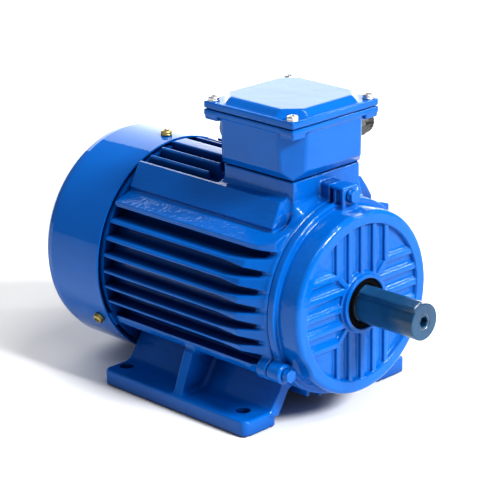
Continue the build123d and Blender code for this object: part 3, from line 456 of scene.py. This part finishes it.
BLACK = plastic("black_plastic", (14, 14, 16), (8, 8, 9), 0.28)
GREY = plastic("grey_plastic", (120, 132, 145), (100, 112, 126), 0.4)
RESIN = plastic("board_resin", (48, 36, 30), (30, 22, 18), 0.3)
SLEEVE = plastic("glass_sleeve", (200, 190, 170), (170, 158, 135), 0.7, 1500, 0.0006)

SLOT_MATERIAL = {
    "blue_paint": CAST, "yellow_zinc": ZINC, "shaft_steel": SHAFT, "shaft_film": FILM,
    "bearing_steel": CHROME, "sheet_steel": STEEL, "rubber": RUBBER, "pale_gasket": GASKET,
    "gland_plastic": BLACK, "plug_plastic": GREY, "fan_plastic": BLACK, "board_resin": RESIN, "brass": BRASS,
    "copper": COPPER, "lead_sleeve": SLEEVE, "lamination_steel": LAMINATION,
    "cage_aluminium": ALUMINIUM, "plate_aluminium": PLATE,
}
for part in frame["record"]["subparts"]:
    mesh = NODES[part["node"]].data
    mesh.materials.clear()
    mesh.materials.append(SLOT_MATERIAL[part["material_slot"]])


# ------------------------------------------------------------ the ears on frame and shield

EAR_HALF_WIDTH = 8.6
EAR_TOP = 95.5
EAR_RADIUS = 8.5


def top_ear(x, a, h, low, high, r):
    """The boxy ear at the top, between two stations along the shaft."""
    ear = both(both(a - EAR_HALF_WIDTH, h - EAR_TOP, 1.8), slab(x, low, high), r)
    return np.maximum(ear, -h)


def low_ears(x, a, h, low, high, r):
    """The round ear low on each side, between two stations along the shaft."""
    out = np.hypot(a - EAR_CIRCLE * EAR_Y, h + EAR_CIRCLE * EAR_Z) - EAR_RADIUS
    return both(out, slab(x, low, high), r)


# ------------------------------------------------------------ the frame casting

BARREL_RADIUS = 80.0
BARREL_ALONG = (-83.0, 100.0)
BORE_RADIUS = 75.0
FLANGE_RADIUS = 82.5
FLANGE_ALONG = (88.5, 100.0)
RAMP_START = 76.0
RAMP_LENGTH = 21.0
FIN_PITCH = 14.0
FIN_NUMBERS = (-2, 3)
FIN_TIP = 92.4
FIN_DROP = 9.4
FIN_HALF = 1.55
FIN_ALONG = (-82.6, 98.5)
RAIL_ALONG = (-82.8, 97.0)
SHELF_OUT = 76.4
SHELF_DROP = 9.5
LEDGE_TIP = 92.0
LEDGE_DROP = 8.5
PANEL_FRONT = 85.0
PANEL_OPEN_TO = 9.5
TOP_RIB_HALF = 7.5
TOP_FIN_PLACES = (20.5, 34.0)
TOP_FIN_HALF = 1.5
TOP_FIN_TIP = 95.2
TOP_FIN_FRONT = -12.0
LOW_FIN_PLACES = (15.0, 30.0)
LOW_FIN_HALF = 1.7
LOW_FIN_TIP = 87.6
LOW_FIN_ALONG = (-82.6, 96.0)
SEAT_LOW = (11, -39, 150)
SEAT_HIGH = (89.6, 39, 202)
BROW_HIGH = (93, 39, 181)
FOOT_ALONG = (-80.0, 90.0)
FOOT_THICKNESS = 14.0
FOOT_HOLES_X = (-70.0, 70.0)
FOOT_HOLE_Y = 80.0
FOOT_HOLE_RADIUS = 6.0
FOOT_OUTER = 97.9
GUSSET_ALONG = (2.2, 11.8)
SOLE_GROOVES = (68.4, 92.0)
GROOVE_RADIUS = 2.2
LEAD_OPENING = 21.0

# Outlines across the shaft, as (distance from the middle, height)
PANEL = [(34, 178), (38.5, 187.2), (47.6, 186), (59, 167.2), (57, 160), (42, 158)]
PANEL_BACK = [(30, 176), (30, 195), (43.8, 195), (44.4, 186), (52.6, 170.5), (46, 166)]
SHELF = [(46, 165), (58, 164.2), (76.3, 157.6), (76, 153.6), (48, 149)]
LEDGE = [(54, 57.3), (79.8, 57.3), (78.4, 50.5), (72, 46.5), (54, 42)]
WEB = [(59, 8), (69, 13), (57, 30), (51, 41), (54, 50), (44, 46), (42, 34), (48, 26)]
GUSSET = [(56, 12), (95, 12.5), (81, 48), (76, 52), (56, 52), (48, 38)]


def side_fins(x, h, r, run):
    """The level cooling fins, thicker towards the root and the drive end."""
    k = np.clip(np.round(h / FIN_PITCH), *FIN_NUMBERS)
    half = FIN_HALF + np.clip(FIN_TIP - r, 0, 12) * 0.06 + np.clip(x - 54, 0, 42) * 0.07
    fin = both(np.abs(h - FIN_PITCH * k) - half, (r - FIN_TIP + FIN_DROP * run) * 0.93, 1.1)
    return both(fin, slab(x, *FIN_ALONG), 0.8)


def shelf(x, a, z, run):
    """The sloping shelf below the side panel."""
    rail = both(polygon(a, z, SHELF), slab(x, *RAIL_ALONG), 1.0)
    return both(rail, a - SHELF_OUT + SHELF_DROP * run * run, 1.0)


def ledge(x, a, z, r, run):
    """The ledge over each foot."""
    rail = both(polygon(a, z, LEDGE), slab(x, *RAIL_ALONG), 1.0)
    return both(rail, r - LEDGE_TIP + LEDGE_DROP * run, 1.2)


def side_panel(x, a, z):
    """The sloping panel beside the box, thinned from behind towards the fan end."""
    front = PANEL_FRONT - np.clip(z - 176, 0, 12) * 0.15
    panel = both(polygon(a, z, PANEL) - 0.3, slab(x, RAIL_ALONG[0], front), 1.1)
    behind = both(polygon(a, z, PANEL_BACK), slab(x, -90, PANEL_OPEN_TO), 1.0)
    return cut(panel, behind, 1.0)


def top_fins(x, a, z, r):
    """The middle rib and the fins beside it, from the fan end to the box."""
    inner, outer = TOP_FIN_PLACES
    fins = np.minimum(np.abs(a - inner), np.abs(a - outer)) - TOP_FIN_HALF
    fins = fins - np.clip(96 - r, 0, 14) * 0.04
    top = both(np.minimum(a - TOP_RIB_HALF, fins), r - TOP_FIN_TIP, 1.2)
    top = both(top, slab(x, RAIL_ALONG[0], TOP_FIN_FRONT), 1.0)
    return np.maximum(top, 160 - z)


def low_fins(x, a, z, r):
    """The fins under the barrel, between the feet."""
    inner, outer = LOW_FIN_PLACES
    fins = np.minimum(a, np.minimum(np.abs(a - inner), np.abs(a - outer))) - LOW_FIN_HALF
    fins = both(both(fins, r - LOW_FIN_TIP, 1.0), slab(x, *LOW_FIN_ALONG), 1.0)
    return np.maximum(fins, z - AXIS)


def box_seat(x, y, z):
    """The pedestal under the terminal box, with the brow that joins it to the drive end."""
    seat = block(x, y, z, SEAT_LOW, SEAT_HIGH, 1.6)
    brow = block(x, y, z, SEAT_LOW, BROW_HIGH, 5)
    return join(seat, brow, 6)


def foot(x, a, z):
    """A foot: its plate, the web up to the barrel and the gusset between."""
    plate = both(block(x, a, z, (-80, 60, -20), (90, 98, 34), 6), slab(z, 0, FOOT_THICKNESS), 2.0)
    web = both(polygon(a, z, WEB) - 0.2, slab(x, *FOOT_ALONG), 1.0)
    gusset = both(polygon(a, z, GUSSET), slab(x, *GUSSET_ALONG), 1.6)
    return join(join(plate, web, 4), gusset, 4)


def frame_openings(body, x, y, z, r):
    """The casting with its bore, lead opening, foot holes and grooves under the feet."""
    a = np.abs(y)
    body = cut(body, r - BORE_RADIUS, 0.6)
    body = cut(body, np.maximum(np.hypot(x - BOX_X, y) - LEAD_OPENING, AXIS - z), 0.6)
    for hole_x in FOOT_HOLES_X:
        hole = np.hypot(x - hole_x, a - FOOT_HOLE_Y) - FOOT_HOLE_RADIUS
        body = cut(body, np.maximum(hole, z - 20), 0.8)
    for groove_y in SOLE_GROOVES:
        groove = np.hypot(a - groove_y, z + 0.6) - GROOVE_RADIUS
        body = cut(body, np.maximum(groove, RAMP_START - x), 0.4)
    return body


def frame_field(x, y, z):
    """The finned frame with its feet, panels, box seat and ears."""
    a = np.abs(y)
    h = z - AXIS
    r = np.sqrt(y * y + h * h)
    run = np.clip((x - RAMP_START) / RAMP_LENGTH, 0, 1)
    body = both(r - BARREL_RADIUS, slab(x, *BARREL_ALONG), 0.8)
    body = join(body, side_fins(x, h, r, run), 3.4)
    body = join(body, both(r - FLANGE_RADIUS, slab(x, *FLANGE_ALONG), 1.4), 3)
    body = join(body, shelf(x, a, z, run), 3)
    body = join(body, ledge(x, a, z, r, run), 3)
    body = join(body, side_panel(x, a, z), 1.6)
    body = join(body, top_fins(x, a, z, r), 3)
    body = join(body, low_fins(x, a, z, r), 3)
    body = join(body, box_seat(x, y, z), 5)
    body = join(body, foot(x, a, z), 4)
    body = join(body, top_ear(x, a, h, 86, 100, 1.0), 2.5)
    body = join(body, low_ears(x, a, h, 89, 100, 1.6), 5)
    body = frame_openings(body, x, y, z, r)
    return np.maximum(body, np.maximum(a - FOOT_OUTER, 0.05 - z))


# ------------------------------------------------------------ the drive end shield

DRUM_RADIUS = 77.0
DRUM_ALONG = (98.0, 129.5)
SHIELD_FLANGE_RADIUS = 82.0
SHIELD_FLANGE_ALONG = (100.0, 107.5)
EAR_SEAT_X = 115.5
EAR_POCKETS_X = (101.6, 109.6)
SCOOP_CIRCLE = 108.5
SCOOP_RADIUS = 34.0
DISH_RADIUS = 65.5
RIB_PITCH = 14.3
RIB_HALF = 2.2
RIB_FLOOR_X = 125.4
HUB_RADIUS = 24.5
HUB_ALONG = (118.0, 132.6)
SHAFT_HOLE = 21.0


def shield_outside(x, a, h, r):
    """The drum with its flange and ears, scooped out round the bolt heads."""
    body = both(r - DRUM_RADIUS, slab(x, *DRUM_ALONG), 4.2)
    flange = both(r - SHIELD_FLANGE_RADIUS, slab(x, *SHIELD_FLANGE_ALONG), 1.8)
    body = join(body, flange, 1.2)
    body = join(body, top_ear(x, a, h, 100, EAR_SEAT_X, 1.4), 2.5)
    body = join(body, low_ears(x, a, h, 100, EAR_SEAT_X, 2.6), 4)
    for place in EAR_POCKETS_X:
        pocket = np.maximum(np.abs(x - place) - 2.7, np.maximum(slab(h, 80.5, 92.5), 5.2 - a))
        body = cut(body, pocket, 1.0)
    top = np.hypot(a, h - SCOOP_CIRCLE) - SCOOP_RADIUS
    low = np.hypot(a - SCOOP_CIRCLE * EAR_Y, h + SCOOP_CIRCLE * EAR_Z) - SCOOP_RADIUS
    for scoop in (top, low):
        body = cut(body, both(scoop, 115.8 - x, 1.5), 2.5)
    return body


def rib_pockets(x, a, h, r):
    """The pockets between the ribs, which run square to the nearer of the two axes."""
    deep = np.clip(129 - x, 0, 4)
    b = np.abs(h)
    small, large = np.minimum(a, b), np.maximum(a, b)
    k = np.clip(np.round(small / RIB_PITCH), 0, 2)
    level = (a > b) * (np.sign(h) * (small - RIB_PITCH * k) > 0)
    rib = np.abs(small - RIB_PITCH * k) - RIB_HALF - deep * (0.1 + 0.75 * level)
    brace = np.abs(a - b) * DIAGONAL - RIB_HALF - deep * 0.1
    brace = np.maximum(brace, large - 2 * RIB_PITCH)
    ribs = np.minimum(rib * (1 - 0.3 * level), brace)
    ring = np.maximum(r - 65.3 + deep * 0.2, 26 - r)
    return both(both(ring, -ribs, 0.8), RIB_FLOOR_X - x, 1.4)


def shield_field(x, y, z):
    """The drive end shield: a ribbed dish with a hub, hollow behind."""
    a = np.abs(y)
    h = z - AXIS
    r = np.sqrt(y * y + h * h)
    body = shield_outside(x, a, h, r)
    body = cut(body, np.maximum(r - DISH_RADIUS, 128.6 - x), 1.0)
    body = cut(body, rib_pockets(x, a, h, r), 0.9)
    body = join(body, both(r - HUB_RADIUS, slab(x, *HUB_ALONG), 0.9), 1.2)
    body = cut(body, np.maximum(r - SHAFT_HOLE, 122.8 - x), 0.7)
    hollow = both(r - 68, x - 119.5, 2)
    hollow = np.maximum(hollow, -both(r - 37.5, 105 - x, 1))
    body = cut(body, hollow, 0.8)
    body = cut(body, np.maximum(r - 31, x - 122), 0.3)
    return cut(body, np.maximum(r - 26, x - 123.5), 0.3)


# ------------------------------------------------------------ the terminal box

BOX_HALF = 50.0
BOX_BASE = 203.0
BOX_EDGE = 209.5
BOX_RIM = (243.7, 248.6)
BOX_LUGS_UNDER = 239.8
BOX_WALL = 4.0
ENTRY_OFFSET = 18.0
ENTRY_Z = 227.5
ENTRY_RADIUS = 10.0
LID_RIM = (249.2, 255.0)
LID_TOP = 260.5
LID_SCREWS = 44.0


def box_openings(body, x, y, z):
    """The box with its lead opening, gland and plug entries, and screw holes."""
    u, v = np.abs(x - BOX_X), np.abs(y)
    body = cut(body, np.hypot(x - BOX_X, y) - LEAD_OPENING, 0.5)
    gland = np.hypot(x - BOX_X - ENTRY_OFFSET, z - ENTRY_Z) - ENTRY_RADIUS
    body = cut(body, np.maximum(gland, -y), 0.3)
    entry = np.hypot(y + ENTRY_OFFSET, z - ENTRY_Z) - ENTRY_RADIUS
    body = cut(body, np.maximum(entry, x - BOX_X), 0.3)
    body = cut(body, np.hypot(u - 29, v - 29) - 2.8, 0.2)
    holes = np.hypot(u - LID_SCREWS, v - LID_SCREWS) - 2.5
    return cut(body, np.maximum(holes, 240 - z), 0.3)


def box_field(x, y, z):
    """The box body, widening upward from its base to the rim."""
    half = 46.75 + (z - BOX_EDGE) * 0.0507
    corner = 79.4 + (z - BOX_EDGE) * 0.026
    u, v = np.abs(x - BOX_X), np.abs(y)
    sides = both(u - half, v - half, 1.2)
    sides = both(sides, (u + v - corner) * DIAGONAL, 1.6)
    base = (np.maximum(u, v) - 39.5 - (z - BOX_BASE)) * DIAGONAL
    body = both(sides, base, 1.2)
    body = both(body, slab(z, BOX_BASE, 247), 0.5)
    lug = both(slab(u, 35, 49.6), slab(v, 35, 49.6), 1.5)
    body = join(body, both(lug, slab(z, BOX_LUGS_UNDER, 247), 1.4), 2.2)
    low = (BOX_X - BOX_HALF, -BOX_HALF, BOX_RIM[0])
    high = (BOX_X + BOX_HALF, BOX_HALF, BOX_RIM[1])
    body = join(body, block(x, y, z, low, high, 1.1), 1.8)
    inner = half - BOX_WALL
    hollow = both(both(u - inner, v - inner, 4), (u + v - corner + 6.4) * DIAGONAL, 2)
    body = cut(body, both(hollow, 207 - z, 2), 0.6)
    return box_openings(body, x, y, z)


def lid_field(x, y, z):
    """The lid: a flat rim with a raised pad, its corners cut off, hollow below."""
    u, v = np.abs(x - BOX_X), np.abs(y)
    low = (BOX_X - BOX_HALF, -BOX_HALF, LID_RIM[0])
    high = (BOX_X + BOX_HALF, BOX_HALF, LID_RIM[1])
    rim = block(x, y, z, low, high, 1.2)
    inset = np.maximum(z - LID_RIM[1], 0) * 1.2
    sides = both(u - 47.7 + inset, v - 47.5 + inset, 1.0)
    pad = both(sides * 0.64, (u + v - 75.8 + inset) * 0.5, 0.9)
    pad = both(pad, slab(z, 250, LID_TOP), 1.4)
    body = join(rim, pad, 1.5)
    hollow = both(both(u - 41, v - 41, 2), (u + v - 70) * DIAGONAL, 2)
    body = cut(body, both(hollow, z - 256, 2), 0.5)
    return cut(body, np.hypot(u - LID_SCREWS, v - LID_SCREWS) - 2.8, 0.3)


# ------------------------------------------------------------ fasteners and fittings

PAN_HEAD_BOX = ((-5, -5, -3.5), (5, 5, 4.6))
KEY_TURN = radians(26.0)
FILM_RADIUS = 15.3
FILM_ALONG = (133.5, 193.8)
FILM_END = 193.7
PLUG_ALONG = (186.0, 192.9)
GLAND_X = BOX_X + ENTRY_OFFSET


def pan_head(x, y, z):
    """A pan head with a cross recess and its washer, about the origin, washer seated at z = 0."""
    r = np.hypot(x, y)
    washer = both(r - 5.0, slab(z, 0, 1.15), 0.3)
    dome = np.sqrt(r * r + (z + 5.2) ** 2) - 9.7
    head = both(both(r - 4.7, dome, 0.7), 1.15 - z, 0.2)
    arm = 0.75 + np.maximum(z - 3.4, 0) * 0.15
    along = np.maximum(np.abs(x) - arm, np.abs(y) - 2.6)
    across = np.maximum(np.abs(y) - arm, np.abs(x) - 2.6)
    body = cut(head, np.maximum(np.minimum(along, across), 2.5 - z), 0.3)
    shank = np.maximum(r - 2.4, slab(z, -3.5, 1.4))
    return np.minimum(np.minimum(body, washer), shank)


def hex_head(x, y, z):
    """A painted hexagon head on its washer, seated at z = 0."""
    r = np.hypot(x, y)
    washer = both(r - 5.55, slab(z, 0, 1.55), 0.5)
    head = both(hexagon(x, y, 10.0), r - 5.75 - (5.6 - z) * 0.6, 0.6)
    head = both(head, slab(z, 1.3, 5.6), 0.5)
    return join(head, washer, 0.7)


def film_field(x, y, z):
    """The peelable film over the shaft's end and its key."""
    h = z - AXIS
    r = np.sqrt(y * y + h * h)
    out = h * cos(KEY_TURN) - y * sin(KEY_TURN)
    side = np.abs(y * cos(KEY_TURN) + h * sin(KEY_TURN))
    body = both(r - FILM_RADIUS, slab(x, *FILM_ALONG), 1.1)
    ridge = both(both(side - 5.3, out - 18.3, 1.4), slab(x, 134, 193.4), 1.4)
    body = both(join(body, np.maximum(ridge, 6 - out), 2.2), x - FILM_END, 0.8)
    body = cut(body, np.maximum(r - 14.05, x - 192.6), 0.3)
    return cut(body, np.maximum(r - 6.6, 191 - x), 0.7)


def plug_field(x, y, z):
    """The hexagon socket plug in the shaft's centre hole."""
    h = z - AXIS
    r = np.sqrt(y * y + h * h)
    body = both(r - 6.5, slab(x, *PLUG_ALONG), 0.7)
    return cut(body, np.maximum(hexagon(y, h, 8.2), 187.5 - x), 0.5)


def gland_field(x, y, z):
    """The gland's cap nut: a hexagon behind a ribbed, rounded dome."""
    u, w = x - GLAND_X, z - ENTRY_Z
    r = np.hypot(u, w)
    ribs = 0.25 * np.cos(np.arctan2(w, u) * 24)
    nut = both(hexagon(u, w, 22.6), slab(y, 55.95, 62.5), 0.8)
    nut = both(nut, r - 12.6, 0.8)
    dome = both(r - 11.2 + ribs, slab(y, 58, 70.2), 3.4)
    body = join(nut, dome, 0.6)
    body = cut(body, np.maximum(r - 9.75, y - 66), 0.2)
    return cut(body, r - 6.7, 0.8)


def lid_screw_places():
    """The lid's four screws, each turned its own way."""
    places = []
    for i in (-1, 1):
        for j in (-1, 1):
            at = (MM * (BOX_X + LID_SCREWS * i), MM * LID_SCREWS * j, MM * LID_RIM[1])
            places.append(Matrix.Translation(at) @ Matrix.Rotation(0.4 + i + 2 * j, 4, "Z"))
    return places


# ------------------------------------------------------------ making the pieces

casting = shaped("frame_casting", frame_field, (-83, -98, 0), (100, 98, 202), 1.0)
finish_piece(casting, "stator", "blue_paint", CAST, "frame_housing")
shield = shaped("drive_shield_casting", shield_field, (98, -84, 16), (133, 84, 197), 0.9)
finish_piece(shield, "stator", "blue_paint", SHIELD, "drive_end_shield")
box = shaped("box_casting", box_field, (0, -50, 203), (100, 50, 248.6), 0.8)
finish_piece(box, "stator", "blue_paint", SMOOTH, "terminal_box_body")
lid = shaped("lid_casting", lid_field, (0, -50, 249.2), (100, 50, 260.5), 0.8)
finish_piece(lid, "lid", "blue_paint", SMOOTH, "terminal_box_lid")
screws = scatter("lid_screw_heads", pan_head, *PAN_HEAD_BOX, 0.32, lid_screw_places())
finish_piece(screws, "lid", "yellow_zinc", SILVER, "lid_screws", "lid_washers")
film = shaped("shaft_film", film_field, (133, -16, 84), (194, 16, 119), 0.6)
finish_piece(film, "rotor", "shaft_film", FILM, "shaft_coating")
plug = shaped("socket_plug", plug_field, (186, -7, 93), (193, 7, 107), 0.3)
finish_piece(plug, "rotor", "shaft_steel", FILM, "shaft_end_plug")
cover_places = radial_places(EARS, 96.2, -99.0, True)
cover_screws = scatter("cover_screw_heads", pan_head, *PAN_HEAD_BOX, 0.34, cover_places)
finish_piece(cover_screws, "stator", "yellow_zinc", ZINC, "fan_cover_screws", "fan_cover_washers")
gland = shaped("gland_cap", gland_field, (55, 55.9, 214), (81, 70.3, 241), 0.5)
finish_piece(gland, "stator", "gland_plastic", BLACK, "cable_gland_nut")
bolt_places = radial_places(EARS, EAR_CIRCLE, EAR_SEAT_X, False)
bolts = scatter("shield_bolt_heads", hex_head, (-6, -6, 0), (6, 6, 5.6), 0.36, bolt_places)
finish_piece(bolts, "stator", "blue_paint", CAST, "drive_end_bolts", "drive_end_washers")
NODES["fan_cover"].data.materials[0] = SHEET


# ------------------------------------------------------------ camera, light and floor

SENSOR = 36.0
LENS = 159.59856384
CAMERA_AT = (1.24834998, -1.24349690, 0.73080104)
CAMERA_RIGHT = (0.70932276, 0.70474373, -0.01405339)
CAMERA_UP = (-0.22333911, 0.24361085, 0.94380792)
CAMERA_BACK = (0.66856627, -0.66632577, 0.33019556)
FLOOR_HALF = 6.0
FLOOR_DROP = 0.0003
FLOOR_TONE = 0.84
SUN_FROM = (0.78, 0.16, 0.6)


def make_camera():
    """The camera that the object is shown from."""
    data = bpy.data.cameras.new("camera")
    data.sensor_width = SENSOR
    data.lens = LENS
    data.clip_end = 30
    camera = bpy.data.objects.new("camera", data)
    bpy.context.scene.collection.objects.link(camera)
    axes = [Vector(v) for v in (CAMERA_RIGHT, CAMERA_UP, CAMERA_BACK)]
    place = Matrix(axes).transposed().to_4x4()
    place.translation = Vector(CAMERA_AT)
    camera.matrix_world = place
    bpy.context.scene.camera = camera


def area_light(name, at, target, size, power):
    """A rectangular lamp at a place, turned to a target."""
    data = bpy.data.lights.new(name, "AREA")
    data.shape = "RECTANGLE"
    data.size, data.size_y = size
    data.energy = power
    lamp = bpy.data.objects.new(name, data)
    bpy.context.scene.collection.objects.link(lamp)
    lamp.location = at
    lamp.rotation_euler = (Vector(target) - Vector(at)).to_track_quat("-Z", "Y").to_euler()


def make_sun():
    """A broad, soft sun."""
    data = bpy.data.lights.new("sun", "SUN")
    data.energy = 4.4
    data.angle = radians(15)
    sun = bpy.data.objects.new("sun", data)
    bpy.context.scene.collection.objects.link(sun)
    sun.rotation_euler = Vector(SUN_FROM).to_track_quat("Z", "Y").to_euler()


def make_floor():
    """The plain pale floor, a hair below the feet."""
    mesh = bpy.data.meshes.new("floor")
    signs = ((-1, -1), (1, -1), (1, 1), (-1, 1))
    corners = [(FLOOR_HALF * i, FLOOR_HALF * j, -FLOOR_DROP) for i, j in signs]
    mesh.from_pydata(corners, [], [(0, 1, 2, 3)])
    floor = bpy.data.objects.new("floor", mesh)
    bpy.context.scene.collection.objects.link(floor)
    material, _, shader = node_material("pale_floor")
    shader.inputs["Base Color"].default_value = (FLOOR_TONE, FLOOR_TONE, FLOOR_TONE, 1)
    shader.inputs["Roughness"].default_value = 0.7
    mesh.materials.append(material)


def make_world():
    """Even white light from all round, and the tone of the picture."""
    world = bpy.data.worlds.new("studio")
    bpy.context.scene.world = world
    world.use_nodes = True
    background = world.node_tree.nodes["Background"]
    background.inputs["Color"].default_value = (1, 1, 1, 1)
    background.inputs["Strength"].default_value = 0.3
    view = bpy.context.scene.view_settings
    view.view_transform = "Standard"
    view.look = "Medium High Contrast"
    view.exposure = -0.15


make_camera()
area_light("backdrop", (-1.5, 1.5, 0.85), (0, 0, 0.2), (2.6, 1.8), 38)
area_light("overhead", (0.45, 0.05, 1.6), (0, 0, 0.1), (0.1, 0.5), 8)
area_light("key_strip", (0.8, 1.07, 0.9), (0, 0, 0.12), (0.1, 0.35), 5)
area_light("front_strip", (0.75, -0.46, 1.28), (0.1, 0, 0.14), (0.9, 0.05), 3.5)
make_sun()
make_floor()
make_world()
